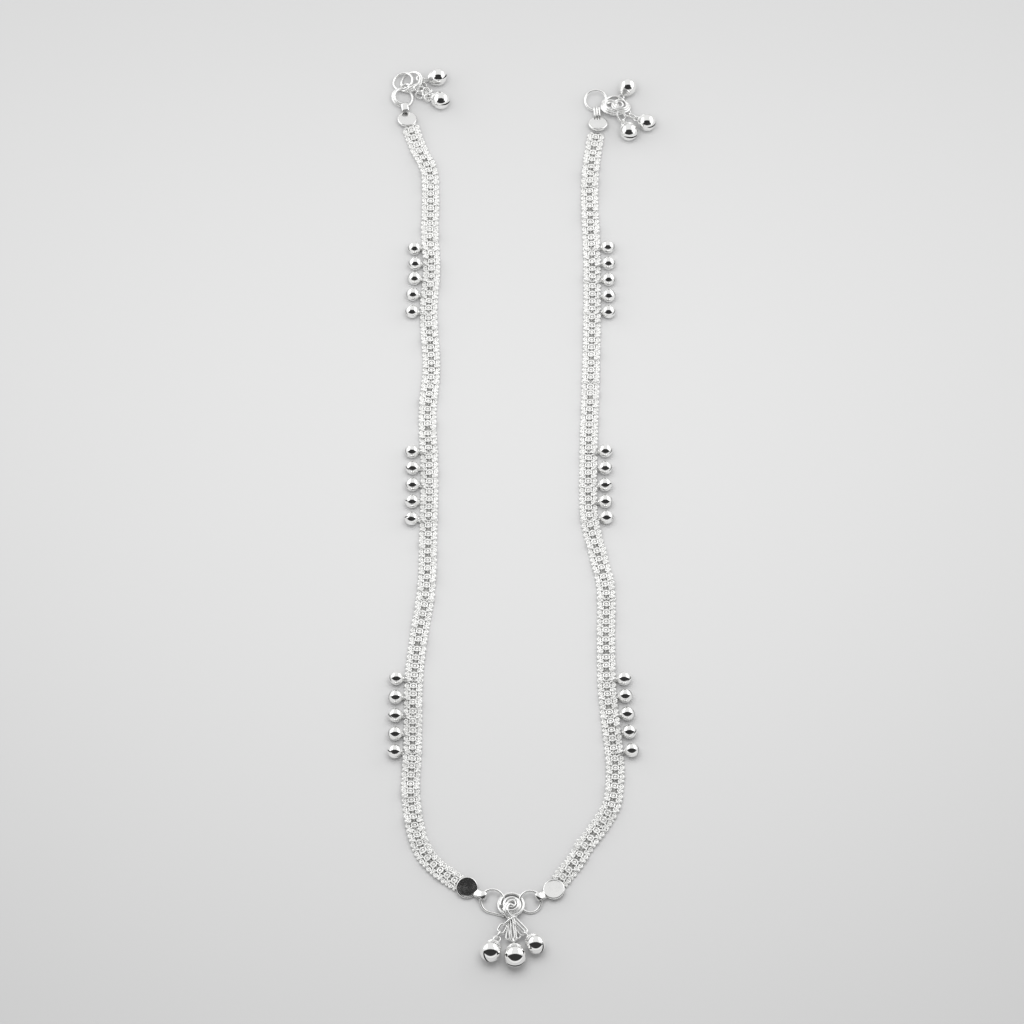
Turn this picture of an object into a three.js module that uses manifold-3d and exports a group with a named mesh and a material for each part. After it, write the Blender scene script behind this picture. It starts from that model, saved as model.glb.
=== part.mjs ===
// A payal anklet laid open on a table: two flat mesh-chain strands that meet at a ring clasp,
// with small bells along their outer edges and clusters of larger bells at the three ends.
// Millimetres, +Z up. The table is z = 0 and the clasp is at the low end of Y.
import * as THREE from "three";
import { mergeVertices } from "three/addons/utils/BufferGeometryUtils.js";
import Module from "manifold-3d";

const wasm = await Module();
wasm.setup();

// ---- driving dimensions ----

// Mesh chain: a flat band, with a slightly proud cross bar at each station.
const BAND_WIDTH = 4.9;
const BAND_THICK = 1.5;
const BAND_STEP = 2.45; // one link
const STATION_LENGTH = 0.8;
const STATION_PROUD = 0.15;

// Each strand's middle line on the table, from its free end to the clasp, as [x, y].
const ROUTES = {
  left: [
    [-30.5, 125.5], [-27, 115.5], [-24, 108.5], [-23.4, 100], [-23.5, 88], [-22.9, 76],
    [-23.6, 62], [-22.6, 44], [-23.5, 30], [-22.8, 12], [-22.9, -4], [-23.3, -24],
    [-25.2, -38], [-26.3, -50], [-26.4, -70], [-26.7, -82], [-25.2, -92.5], [-23.1, -98.5],
    [-19.8, -102.5], [-15.8, -105.6], [-11.7, -108.3],
  ],
  right: [
    [25, 123.8], [23.3, 113.5], [22.4, 104], [22.4, 94], [22.8, 78], [22.6, 60],
    [22, 40], [21.2, 18], [21.3, -3], [23.4, -13], [25.4, -23], [25.3, -38],
    [25.4, -52], [26.4, -64], [27.3, -75], [26.3, -85], [23.7, -90.2], [19, -96.8],
    [16.4, -101.2], [13.5, -105], [10.9, -108.7],
  ],
};
const OUTWARD = { left: -1, right: 1 }; // which side of the strand the bells hang on, along X

// Side bells: three groups on each strand, at the same height on both.
const GROUP_Y = [72, 7.5, -60.5];
const BELLS_IN_GROUP = 5;
const BELL_PITCH = 5.2;
const SIDE_BELL = {
  radius: 1.9,
  wall: 0.35,
  collar: [[0.8, 1.72], [0.6, 1.95]],
  slitWidth: 0.45,
  slitLength: 2.2,
  loopRadius: 0.75,
  loopWire: 0.2,
  loopAt: 2.6,
  sides: 8,
  bands: 4,
};
const SIDE_BELL_OUT = 4.62; // ball centre from the strand's middle line

// The eye in the chain's edge that a side bell's loop goes round: a slot with a thin bar outside it.
const EYE_BAR = 0.5;
const EYE_SLOT = 0.9;
const EYE_Z = 0.95;
const EYE_INSET = 0.06; // the bar's outer face, inside the chain's edge
const EYE_ROOT = 0.2; // how far the bar's ends run into the band

// Drop bells, the larger ones at the three ends, with a stepped cap under the loop.
const DROP_BELL = {
  radius: 2.55,
  wall: 0.4,
  collar: [[1.7, 1.9], [1.7, 2.2], [1.2, 2.3], [1.2, 2.6], [0.75, 2.65], [0.65, 3]],
  slitWidth: 0.5,
  slitLength: 2.7,
  loopRadius: 0.9,
  loopWire: 0.25,
  loopAt: 3.75,
  sides: 12,
  bands: 5,
};

// Round wire rings and oval drop links.
const RING_WIRE = 0.3;
const RING_STEPS = 22;
const WIRE_SIDES = 6;
const LINK_WIRE = 0.2;
const LINK_END = 0.85; // mean radius of a link's round ends
const LINK_STEPS = 12;

// End plates: a round plate that leans a little, and a bail loop folded from a domed strip.
const PLATE_RADIUS = 2.8;
const PLATE_THICK = 0.9;
const PLATE_CHAMFER = 0.12;
const PLATE_GAP = 0.35; // from the plate's rim to the end of the chain
const BAIL_END = 1.0;
const BAIL_THICK = 0.6;
const BAIL_WIDTH = 2.1;

// ---- materials ----

const silver = (color, roughness) => new THREE.MeshStandardMaterial({ color, roughness, metalness: 1 });
const chainSilver = () => silver(0xdcdcda, 0.25);
const bellSilver = () => silver(0xeaeae8, 0.08);
const plateSilver = () => silver(0xe4e4e2, 0.1);
const wireSilver = () => silver(0xe6e6e3, 0.15);

// ---- solids ----

// A closed three.js geometry as a solid that can be cut and joined.
function solidOf(geometry) {
  const bare = geometry.clone();
  bare.deleteAttribute("normal");
  bare.deleteAttribute("uv");
  const merged = mergeVertices(bare, 1e-4);
  return new wasm.Manifold(
    new wasm.Mesh({
      numProp: 3,
      vertProperties: new Float32Array(merged.attributes.position.array),
      triVerts: new Uint32Array(merged.index.array),
    }),
  );
}

function geometryOf(solid) {
  const mesh = solid.getMesh();
  const geometry = new THREE.BufferGeometry();
  geometry.setAttribute("position", new THREE.BufferAttribute(mesh.vertProperties, 3));
  geometry.setIndex(new THREE.BufferAttribute(mesh.triVerts, 1));
  geometry.computeVertexNormals();
  return geometry;
}

const up = new THREE.Vector3(0, 0, 1);

// A level unit vector square to a direction.
const levelAcross = (direction) => new THREE.Vector3().crossVectors(up, direction).normalize();

// ---- strands ----

const routes = {};
for (const [side, table] of Object.entries(ROUTES)) {
  const points = table.map(([x, y]) => new THREE.Vector3(x, y, 0));
  routes[side] = new THREE.CatmullRomCurve3(points, false, "centripetal");
  routes[side].arcLengthDivisions = 800;
}

// The length along a route at which it passes a given y. The strands run steadily down Y.
function lengthAtY(route, y) {
  let low = 0;
  let high = 1;
  for (let i = 0; i < 40; i++) {
    const middle = (low + high) / 2;
    if (route.getPointAt(middle).y > y) low = middle;
    else high = middle;
  }
  return low * route.getLength();
}

// Point, direction of travel and outward direction at a length along a strand.
function along(side, length) {
  const route = routes[side];
  const u = THREE.MathUtils.clamp(length / route.getLength(), 0, 1);
  const point = route.getPointAt(u);
  const travel = route.getTangentAt(u);
  const outward = levelAcross(travel).multiplyScalar(-OUTWARD[side]);
  if (outward.x * OUTWARD[side] < 0) outward.negate();
  return { point, travel, outward };
}

function bellLengths(side) {
  const lengths = [];
  for (const y of GROUP_Y) {
    const middle = lengthAtY(routes[side], y);
    for (let i = 0; i < BELLS_IN_GROUP; i++) {
      lengths.push(middle + (i - (BELLS_IN_GROUP - 1) / 2) * BELL_PITCH);
    }
  }
  return lengths;
}

// Stations: the first, third and fifth bell of each group, and halfway between the groups and ends.
function stationLengths(side) {
  const total = routes[side].getLength();
  const bells = bellLengths(side);
  const stations = [];
  let previous = 0;
  for (let g = 0; g < GROUP_Y.length; g++) {
    const group = bells.slice(g * BELLS_IN_GROUP, (g + 1) * BELLS_IN_GROUP);
    stations.push((previous + group[0]) / 2, group[0], group[2], group[4]);
    previous = group[4];
  }
  stations.push((previous + total) / 2);
  return stations;
}

// A box in a strand's own frame: x outward, y along the strand, z up.
function boxAt(side, length, [x0, x1], halfLength, [z0, z1]) {
  const { point, travel, outward } = along(side, length);
  const box = new THREE.BoxGeometry(x1 - x0, 2 * halfLength, z1 - z0);
  box.translate((x0 + x1) / 2, 0, (z0 + z1) / 2);
  const third = new THREE.Vector3().crossVectors(outward, travel);
  const sense = Math.sign(third.z); // keeps the frame right-handed on both strands
  const frame = new THREE.Matrix4().makeBasis(outward, travel.clone().multiplyScalar(sense), up);
  box.applyMatrix4(frame.setPosition(point));
  return solidOf(box);
}

function chainSolid(side) {
  const total = routes[side].getLength();
  const start = PLATE_RADIUS + PLATE_GAP;
  const end = total - start;
  const steps = Math.round((end - start) / BAND_STEP);
  const outer = [];
  const inner = [];
  for (let i = 0; i <= steps; i++) {
    const { point, outward } = along(side, start + ((end - start) * i) / steps);
    const reach = outward.clone().multiplyScalar(BAND_WIDTH / 2);
    outer.push(new THREE.Vector2(point.x + reach.x, point.y + reach.y));
    inner.push(new THREE.Vector2(point.x - reach.x, point.y - reach.y));
  }
  const outline = new THREE.Shape([...outer, ...inner.reverse()]);
  let band = solidOf(new THREE.ExtrudeGeometry(outline, { depth: BAND_THICK, bevelEnabled: false }));
  const halfBar = BAND_WIDTH / 2 + STATION_PROUD / 2;
  for (const length of stationLengths(side)) {
    const heights = [0.1, BAND_THICK + STATION_PROUD];
    band = band.add(boxAt(side, length, [-halfBar, halfBar], STATION_LENGTH / 2, heights));
  }
  const edge = BAND_WIDTH / 2;
  const through = [-1, BAND_THICK + 1];
  const barHeights = [EYE_Z - EYE_BAR / 2, EYE_Z + EYE_BAR / 2];
  for (const length of bellLengths(side)) {
    const notch = [edge - EYE_BAR - EYE_SLOT, edge + 1];
    const bar = [edge - EYE_BAR, edge - EYE_INSET];
    band = band.subtract(boxAt(side, length, notch, EYE_SLOT / 2, through));
    band = band.add(boxAt(side, length, bar, EYE_SLOT / 2 + EYE_ROOT, barHeights));
  }
  return band;
}

// ---- bells ----

// A hollow ball with a slit at its low pole, a collar and a wire loop towards local +Z. The slit
// runs along local Y. The loop stands in the local XZ plane, or in YZ where loopFlat is set.
function bellGeometry(bell, loopFlat = false) {
  const [collarRadius, collarZ] = bell.collar[0];
  const profile = [new THREE.Vector2(0, -bell.radius)];
  const collarAngle = Math.atan2(collarZ, collarRadius);
  for (let i = 1; i < bell.bands; i++) {
    const angle = -Math.PI / 2 + ((collarAngle + Math.PI / 2) * i) / bell.bands;
    profile.push(new THREE.Vector2(Math.cos(angle), Math.sin(angle)).multiplyScalar(bell.radius));
  }
  for (const [r, z] of bell.collar) profile.push(new THREE.Vector2(r, z));
  profile.push(new THREE.Vector2(0, bell.collar.at(-1)[1]));
  const outside = new THREE.LatheGeometry(profile, bell.sides).rotateX(Math.PI / 2);
  const inside = new THREE.SphereGeometry(bell.radius - bell.wall, 6, 4).rotateX(Math.PI / 2);
  const slit = new THREE.BoxGeometry(bell.slitWidth, bell.slitLength, bell.radius);
  slit.translate(0, 0, -bell.radius);
  const loop = new THREE.TorusGeometry(bell.loopRadius, bell.loopWire, 4, 8).rotateX(Math.PI / 2);
  if (loopFlat) loop.rotateZ(Math.PI / 2);
  loop.translate(0, 0, bell.loopAt);
  const ball = solidOf(outside).subtract(solidOf(inside)).subtract(solidOf(slit));
  return geometryOf(ball.add(solidOf(loop)));
}

// Sets a bell with its ball at one point and its loop towards another, its slit level.
function placeBell(mesh, ball, loop) {
  const z = new THREE.Vector3().subVectors(loop, ball).normalize();
  const y = levelAcross(z);
  const x = new THREE.Vector3().crossVectors(y, z);
  mesh.quaternion.setFromRotationMatrix(new THREE.Matrix4().makeBasis(x, y, z));
  mesh.position.copy(ball);
}

// ---- wire ----

// An oval wire link in the XY plane: a ring whose halves are moved apart along X, to put the
// centres of its two round ends a given span apart.
function ovalGeometry(span, endRadius, wire) {
  const oval = new THREE.TorusGeometry(endRadius, wire, WIRE_SIDES, LINK_STEPS);
  oval.rotateZ(Math.PI / LINK_STEPS);
  const places = oval.attributes.position;
  for (let i = 0; i < places.count; i++) {
    const x = places.getX(i);
    places.setX(i, x + (Math.sign(x) * span) / 2);
  }
  return oval;
}

// The frame of an oval between two points: flat, or upright on its edge.
function ovalFrame(from, to, upright) {
  const x = new THREE.Vector3().subVectors(to, from).normalize();
  const across = levelAcross(x);
  const lift = new THREE.Vector3().crossVectors(x, across);
  const frame = new THREE.Matrix4();
  if (upright) frame.makeBasis(x, lift, across.clone().negate());
  else frame.makeBasis(x, across, lift);
  return frame.setPosition(new THREE.Vector3().addVectors(from, to).multiplyScalar(0.5));
}

// Rings lie in a tilted plane: tilt in degrees about a level axis at a heading from +X.
const RINGS = {
  clasp_ring: { at: [-0.15, -112.9, 1.08], radius: 3.25, heading: 0, tilt: -13 },
  clasp_end_ring: { at: [4.75, -112.1, 1.1], radius: 2.8, heading: 0, tilt: 15 },
  drop_carrier_ring: { at: [-0.2, -115.6, 2.2], radius: 1.9, heading: 90, tilt: 80 },
  top_left_ring_1: { at: [-31.8, 132.8, 1.65], radius: 2.8, heading: 78, tilt: 12 },
  top_left_ring_2: { at: [-30.7, 138.1, 1.65], radius: 3.5, heading: 78, tilt: -22 },
  top_right_ring_1: { at: [24.4, 131.6, 1.9], radius: 3.1, heading: -17, tilt: 12 },
  top_right_ring_2: { at: [29.8, 130, 1.9], radius: 3.7, heading: -17, tilt: -13 },
};

const ringTurn = ({ heading, tilt }) =>
  new THREE.Quaternion().setFromAxisAngle(
    new THREE.Vector3(1, 0, 0).applyAxisAngle(up, THREE.MathUtils.degToRad(heading)),
    THREE.MathUtils.degToRad(tilt),
  );

// The point of a ring's plane that lies in a given level direction, at a radius from its centre.
function ringPoint(ring, towards, radius) {
  const turn = ringTurn(ring);
  const centre = new THREE.Vector3(...ring.at);
  const local = new THREE.Vector3().subVectors(towards, centre).setZ(0);
  local.applyQuaternion(turn.clone().invert()).setZ(0).normalize();
  return local.multiplyScalar(radius).applyQuaternion(turn).add(centre);
}

// The clasp's hook: most of a ring, open on its clasp side, whose low end runs out in a tail.
const HOOK = { at: [-5.1, -111.9, 1.05], radius: 3, heading: 0, tilt: 13, from: -30, to: 262 };
const HOOK_TAIL = [[1.5, -3.45, 0.1], [2.6, -3.75, 0.3], [3.4, -4.2, 0.5]];

function hookGeometry() {
  const points = [];
  for (let degrees = HOOK.from; degrees <= HOOK.to; degrees += (HOOK.to - HOOK.from) / 12) {
    const angle = THREE.MathUtils.degToRad(degrees);
    points.push(new THREE.Vector3(Math.cos(angle), Math.sin(angle), 0).multiplyScalar(HOOK.radius));
  }
  for (const place of HOOK_TAIL) points.push(new THREE.Vector3(...place));
  const section = new THREE.Shape().absarc(0, 0, RING_WIRE, 0, 2 * Math.PI);
  return new THREE.ExtrudeGeometry(section, {
    extrudePath: new THREE.CatmullRomCurve3(points),
    steps: RING_STEPS,
    curveSegments: WIRE_SIDES / 2,
  });
}

// ---- end plates ----

// Plates: centre, the lean of the plate's normal in degrees along X and Y, and the ring it holds.
const PLATES = {
  end_plate_top_left: { at: [-30.5, 125.5, 1.15], lean: [2, 13], ring: RINGS.top_left_ring_1 },
  end_plate_top_right: { at: [25, 123.8, 1.45], lean: [0, 18], ring: RINGS.top_right_ring_1 },
  end_plate_bottom_left: { at: [-11.7, -108.3, 1.3], lean: [4, -15], ring: HOOK },
  end_plate_bottom_right: { at: [10.9, -108.7, 1.1], lean: [-4, 5], ring: RINGS.clasp_end_ring },
};

function plateSolid({ at, lean, ring }) {
  const half = PLATE_THICK / 2;
  const flat = PLATE_RADIUS - PLATE_CHAMFER;
  const rim = half - PLATE_CHAMFER;
  const profile = [
    [0, -half], [flat, -half], [PLATE_RADIUS, -rim], [PLATE_RADIUS, rim], [flat, half], [0, half],
  ];
  const points = profile.map(([r, z]) => new THREE.Vector2(r, z));
  const plate = new THREE.LatheGeometry(points, 20).rotateX(Math.PI / 2);
  const centre = new THREE.Vector3(...at);
  const [leanX, leanY] = lean.map((degrees) => Math.tan(THREE.MathUtils.degToRad(degrees)));
  const normal = new THREE.Vector3(leanX, leanY, 1).normalize();
  plate.applyQuaternion(new THREE.Quaternion().setFromUnitVectors(up, normal));
  plate.translate(...at);
  // The bail grows out of the plate's rim, and its far end goes round the ring's wire.
  const wire = ringPoint(ring, centre, ring.radius);
  const level = new THREE.Vector3().subVectors(wire, centre).setZ(0).normalize();
  const drop = -(normal.x * level.x + normal.y * level.y) / normal.z;
  const slope = new THREE.Vector3(level.x, level.y, drop).normalize();
  const root = slope.multiplyScalar(PLATE_RADIUS - BAIL_THICK / 2 + BAIL_END).add(centre);
  root.z = Math.max(root.z, BAIL_END + BAIL_THICK / 2);
  const bail = ovalGeometry(root.distanceTo(wire), BAIL_END, BAIL_THICK / 2);
  bail.scale(1, 1, BAIL_WIDTH / BAIL_THICK);
  bail.applyMatrix4(ovalFrame(root, wire, true));
  return solidOf(plate).add(solidOf(bail));
}

// ---- drops ----

// Each drop bell: the ball's place on the table, the ring it hangs from, and how. "carrier" drops
// hang at an angle round the low end of the carrier ring; "link" drops hang from the ring by an
// upright link; "loop" drops have the bell's own loop round the ring.
const DROPS = {
  bottom_left: { at: [-5.5, -126], ring: RINGS.drop_carrier_ring, by: "carrier", angle: -24 },
  bottom_middle: { at: [0.8, -127.3], ring: RINGS.drop_carrier_ring, by: "carrier", angle: 0 },
  bottom_right: { at: [6.1, -124], ring: RINGS.drop_carrier_ring, by: "carrier", angle: 24 },
  top_left_1: { at: [-21.6, 139.2], ring: RINGS.top_left_ring_2, by: "link" },
  top_left_2: { at: [-20.7, 131.1], ring: RINGS.top_left_ring_2, by: "link" },
  top_right_1: { at: [33.8, 135.8], ring: RINGS.top_right_ring_2, by: "loop" },
  top_right_2: { at: [39.2, 123.6], ring: RINGS.top_right_ring_2, by: "link" },
  top_right_3: { at: [33.9, 120.4], ring: RINGS.top_right_ring_2, by: "link" },
};
const LOOP_Z = { carrier: 1.9, link: 1.45 }; // height of a drop bell's loop above the table

// The point of its ring's wire that a drop's link or loop goes round.
function hangPoint({ at, ring, by, angle }) {
  if (by !== "carrier") return ringPoint(ring, new THREE.Vector3(...at, 0), ring.radius);
  const turned = THREE.MathUtils.degToRad(180 + angle); // from the end of the ring nearest the drops
  const local = new THREE.Vector3(Math.cos(turned), Math.sin(turned), 0);
  local.applyAxisAngle(up, Math.PI / 2).multiplyScalar(ring.radius);
  return local.applyQuaternion(ringTurn(ring)).add(new THREE.Vector3(...ring.at));
}

// ---- assembly ----

const anklet = new THREE.Group();

function addPiece(name, geometry, material) {
  const mesh = new THREE.Mesh(geometry, material);
  mesh.name = name;
  anklet.add(mesh);
  return mesh;
}

for (const side of ["left", "right"]) {
  addPiece("chain_" + side, geometryOf(chainSolid(side)), chainSilver());
}

const sideBell = bellGeometry(SIDE_BELL);
for (const side of ["left", "right"]) {
  bellLengths(side).forEach((length, i) => {
    const { point, outward } = along(side, length);
    const ball = point.clone().addScaledVector(outward, SIDE_BELL_OUT).setZ(SIDE_BELL.radius);
    const loop = point.clone().addScaledVector(outward, BAND_WIDTH / 2 - EYE_BAR / 2).setZ(EYE_Z);
    const number = String(i + 1).padStart(2, "0");
    placeBell(addPiece("side_bell_" + side + "_" + number, sideBell, bellSilver()), ball, loop);
  });
}

for (const [name, ring] of Object.entries(RINGS)) {
  const wire = new THREE.TorusGeometry(ring.radius, RING_WIRE, WIRE_SIDES, RING_STEPS);
  const mesh = addPiece(name, wire, wireSilver());
  mesh.quaternion.copy(ringTurn(ring));
  mesh.position.set(...ring.at);
}
const hook = addPiece("clasp_hook", hookGeometry(), wireSilver());
hook.quaternion.copy(ringTurn(HOOK));
hook.position.set(...HOOK.at);

for (const [name, plate] of Object.entries(PLATES)) {
  addPiece(name, geometryOf(plateSolid(plate)), plateSilver());
}

const uprightLoopBell = bellGeometry(DROP_BELL);
const flatLoopBell = bellGeometry(DROP_BELL, true);
for (const [name, drop] of Object.entries(DROPS)) {
  const hang = hangPoint(drop);
  const ball = new THREE.Vector3(...drop.at, DROP_BELL.radius);
  const level = new THREE.Vector3().subVectors(hang, ball).setZ(0).normalize();
  const looped = drop.by === "loop";
  const rise = (looped ? hang.z : LOOP_Z[drop.by]) - ball.z;
  const run = Math.sqrt(DROP_BELL.loopAt ** 2 - rise ** 2);
  if (looped) ball.copy(hang).addScaledVector(level, -run).setZ(DROP_BELL.radius);
  const loop = new THREE.Vector3().copy(ball).addScaledVector(level, run);
  loop.z += rise;
  const upright = drop.by === "link";
  const shape = upright ? flatLoopBell : uprightLoopBell;
  placeBell(addPiece("drop_bell_" + name, shape, bellSilver()), ball, loop);
  if (looped) continue;
  // The link's far end goes round the outermost part of the bell's loop.
  const far = new THREE.Vector3().subVectors(loop, ball).setLength(DROP_BELL.loopRadius).add(loop);
  const oval = ovalGeometry(hang.distanceTo(far), LINK_END, LINK_WIRE);
  const link = addPiece("drop_link_" + name, oval, wireSilver());
  link.applyMatrix4(ovalFrame(hang, far, upright));
}

// The origin is on the table, under the middle of the whole piece.
anklet.updateMatrixWorld(true);
const box = new THREE.Box3().setFromObject(anklet, true);
const middle = box.getCenter(new THREE.Vector3());
anklet.position.set(-middle.x, -middle.y, -box.min.z);

export default anklet;
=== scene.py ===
import math

import bpy
import numpy as np
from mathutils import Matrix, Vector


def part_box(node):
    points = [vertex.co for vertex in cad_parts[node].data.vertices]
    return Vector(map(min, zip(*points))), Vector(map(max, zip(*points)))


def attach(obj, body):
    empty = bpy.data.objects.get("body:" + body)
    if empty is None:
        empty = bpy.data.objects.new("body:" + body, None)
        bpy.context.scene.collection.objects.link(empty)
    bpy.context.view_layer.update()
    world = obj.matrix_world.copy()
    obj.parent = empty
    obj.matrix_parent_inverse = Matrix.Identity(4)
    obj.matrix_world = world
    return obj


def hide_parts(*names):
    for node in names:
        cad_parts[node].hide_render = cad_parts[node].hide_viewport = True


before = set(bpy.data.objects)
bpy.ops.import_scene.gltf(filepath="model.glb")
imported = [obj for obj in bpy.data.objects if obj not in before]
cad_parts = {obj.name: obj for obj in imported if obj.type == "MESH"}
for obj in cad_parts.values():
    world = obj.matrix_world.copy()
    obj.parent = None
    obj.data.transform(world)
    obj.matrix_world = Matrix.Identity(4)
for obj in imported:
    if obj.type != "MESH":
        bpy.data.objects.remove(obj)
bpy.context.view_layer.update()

# ---- The mesh strands ----
# Each strand is a flat chain woven from small round silver wire links: a middle column of rings,
# a narrower column on each side of it, and a beaded edge. Cross bars of smaller rings divide it.
# The wire is bright where it is polished. The dark layer inside the weave is painted shade for its
# deep holes.

MM = 0.001
RNG = np.random.default_rng(8)

ROUTES = {
    "left": [
        (-30.5, 125.5), (-27, 115.5), (-24, 108.5), (-23.4, 100), (-23.5, 88), (-22.9, 76),
        (-23.6, 62), (-22.6, 44), (-23.5, 30), (-22.8, 12), (-22.9, -4), (-23.3, -24),
        (-25.2, -38), (-26.3, -50), (-26.4, -70), (-26.7, -82), (-25.2, -92.5), (-23.1, -98.5),
        (-19.8, -102.5), (-15.8, -105.6), (-11.7, -108.3),
    ],
    "right": [
        (25, 123.8), (23.3, 113.5), (22.4, 104), (22.4, 94), (22.8, 78), (22.6, 60),
        (22, 40), (21.2, 18), (21.3, -3), (23.4, -13), (25.4, -23), (25.3, -38),
        (25.4, -52), (26.4, -64), (27.3, -75), (26.3, -85), (23.7, -90.2), (19, -96.8),
        (16.4, -101.2), (13.5, -105), (10.9, -108.7),
    ],
}
OUTWARD = {"left": -1, "right": 1}
STRAND_ENDS = 2.5  # from the centre of an end plate to the end of the weave
LINK = 2.46  # about how far one link is from the next
STATION = 0.56  # what a cross bar takes up along the strand
GROUP_Y = (72, 7.5, -60.5)  # where the middle bell of each group of five hangs
BELL_PITCH = 5.2
LEAN, MOST_LEAN, BAR_LEAN = 0.17, 0.3, 0.06  # slopes of the links and of the cross bars
HEIGHT_SPREAD, PLACE_SPREAD = 0.05, 0.09  # how unevenly the links lie otherwise
# Under the links lie a wire band and, on it, a dark layer that is painted shade for the weave's deep
# holes.
BASE, BASE_HALF = (0.05, 0.35), 2.15  # bottom, top and half width of the wire under the links
CORE, CORE_HALF = (0.3, 0.45), 1.15  # and of the dark layer on it
STRIP_STEP = 1.2  # how finely both follow the strand

# The tables here are in millimetres, with the clasp ring's middle at (-0.15, -112.9) and the table
# at z 0. ORIGIN is where their origin lies in the CAD frame.
RING_LOW, RING_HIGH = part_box("clasp_ring")
ORIGIN = np.array((RING_LOW + RING_HIGH) / 2) / MM - (-0.15, -112.9, 0)
ORIGIN[2] = 0


class Field:
    """A socket in a node tree. Arithmetic on fields makes Math nodes, in the order it is written."""

    def __init__(self, tree, socket):
        self.tree, self.socket = tree, socket

    def node(self, kind, settings, inputs, out=0):
        """A new node: its settings are set, then its inputs, each with a value or a field."""
        made = self.tree.nodes.new(kind)
        for key, value in settings.items():
            setattr(made, key, value)
        for key, value in inputs.items():
            if isinstance(value, Field):
                self.tree.links.new(value.socket, made.inputs[key])
            else:
                made.inputs[key].default_value = value
        return Field(self.tree, made.outputs[out])

    def math(self, operation, first, second):
        return self.node("ShaderNodeMath", {"operation": operation}, {0: first, 1: second})

    def __add__(self, other):
        return self.math("ADD", self, other)

    def __radd__(self, other):
        return self.math("ADD", other, self)

    def __sub__(self, other):
        return self.math("SUBTRACT", self, other)

    def __rsub__(self, other):
        return self.math("SUBTRACT", other, self)

    def __mul__(self, other):
        return self.math("MULTIPLY", self, other)

    def __rmul__(self, other):
        return self.math("MULTIPLY", other, self)

    def noise(self, scale, detail):
        settings = {"noise_dimensions": "3D"}
        inputs = {"Vector": self, "Scale": scale, "Detail": detail}
        return self.node("ShaderNodeTexNoise", settings, inputs)

    def blend(self, low, high):
        """The colour low where this is 0 and high where it is 1."""
        inputs = {0: self, 6: (*low, 1), 7: (*high, 1)}
        return self.node("ShaderNodeMix", {"data_type": "RGBA"}, inputs, 2)


PATCHES, PATCH_DETAIL, GRAIN_DETAIL = 420.0, 3.0, 5.0  # dull patches to a metre, and their detail


def metal(name, light, dull, rough, rough_spread, grain, bump, metallic=1.0):
    """Silver whose colour runs between light and dull, and its roughness by rough_spread, over
    patches; grain is the number of bumps to a metre and bump their height in metres. Silver that
    acid has left white and matt is less metallic."""
    material = bpy.data.materials.new(name)
    material.use_nodes = True
    shader = material.node_tree.nodes["Principled BSDF"]
    coordinates = material.node_tree.nodes.new("ShaderNodeTexCoord")
    place = Field(material.node_tree, coordinates.outputs["Object"])
    patches = place.noise(PATCHES, PATCH_DETAIL)
    fine = place.noise(grain, GRAIN_DETAIL)
    shader.inputs["Metallic"].default_value = metallic
    links = material.node_tree.links
    links.new(patches.blend(dull, light).socket, shader.inputs["Base Color"])
    roughness = rough + rough_spread * (fine - 0.5)
    links.new(roughness.socket, shader.inputs["Roughness"])
    relief = {"Height": fine, "Strength": 1.0, "Distance": bump}
    links.new(place.node("ShaderNodeBump", {}, relief).socket, shader.inputs["Normal"])
    return material


def skin(rows, ring=False):
    """Faces over an (n, m, 3) grid whose columns close up: quads (i, j), (i, j+1), (i+1, j+1),
    (i+1, j). Rows close up too in a ring; otherwise each end row is closed to its middle. The
    faces are turned if the sum of p0 . (p1 x p2), six times the volume, is negative."""
    rows = np.asarray(rows, float)
    n, m = rows.shape[:2]
    index = np.arange(n * m).reshape(n, m)
    turned = np.roll(index, -1, 1)
    i = np.arange(n if ring else n - 1)
    k = (i + 1) % n
    quads = np.stack([index[i], turned[i], turned[k], index[k]], -1).reshape(-1, 4)
    points = rows.reshape(-1, 3)
    faces = [quads[:, (0, 1, 2)], quads[:, (0, 2, 3)]]
    if not ring:
        points = np.vstack([points, rows[0].mean(0), rows[-1].mean(0)])
        first, last = np.full(m, n * m), np.full(m, n * m + 1)
        faces.append(np.stack([first, turned[0], index[0]], -1))
        faces.append(np.stack([last, index[-1], turned[-1]], -1))
    faces = np.vstack(faces)
    a, b, c = (points[faces[:, j]] for j in range(3))
    if np.einsum("ij,ij", a, np.cross(b, c)) < 0:
        faces = faces[:, ::-1]
    return points, faces


def unit(v):
    """Vectors of length 1: v / |v|."""
    v = np.asarray(v, float)
    return v / np.linalg.norm(v, axis=-1, keepdims=True)


def wire(path, radius, sides, up=(0, 0, 1), ring=False):
    """Round wire of a radius along path: the section is p + r (cos a * side + sin a * lift), where
    side = tangent x up and lift = side x tangent."""
    path = np.asarray(path, float)
    if ring:
        tangent = unit(np.roll(path, -1, 0) - np.roll(path, 1, 0))
    else:
        tangent = unit(np.gradient(path, axis=0))
    side = unit(np.cross(tangent, up))
    lift = np.cross(side, tangent)
    angle = np.linspace(0, 2 * np.pi, sides, endpoint=False)
    section = np.cos(angle)[:, None] * side[:, None] + np.sin(angle)[:, None] * lift[:, None]
    return skin(path[:, None] + radius * section, ring)


def hoop(centre, half_x, half_y, thickness, steps=12, sides=5):
    """A flat oval ring: centre + (half_x cos t, half_y sin t, 0), in wire of a thickness."""
    t = np.linspace(0, 2 * np.pi, steps, endpoint=False)
    path = np.stack([half_x * np.cos(t), half_y * np.sin(t), 0 * t], -1) + centre
    return wire(path, thickness / 2, sides, ring=True)


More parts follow.
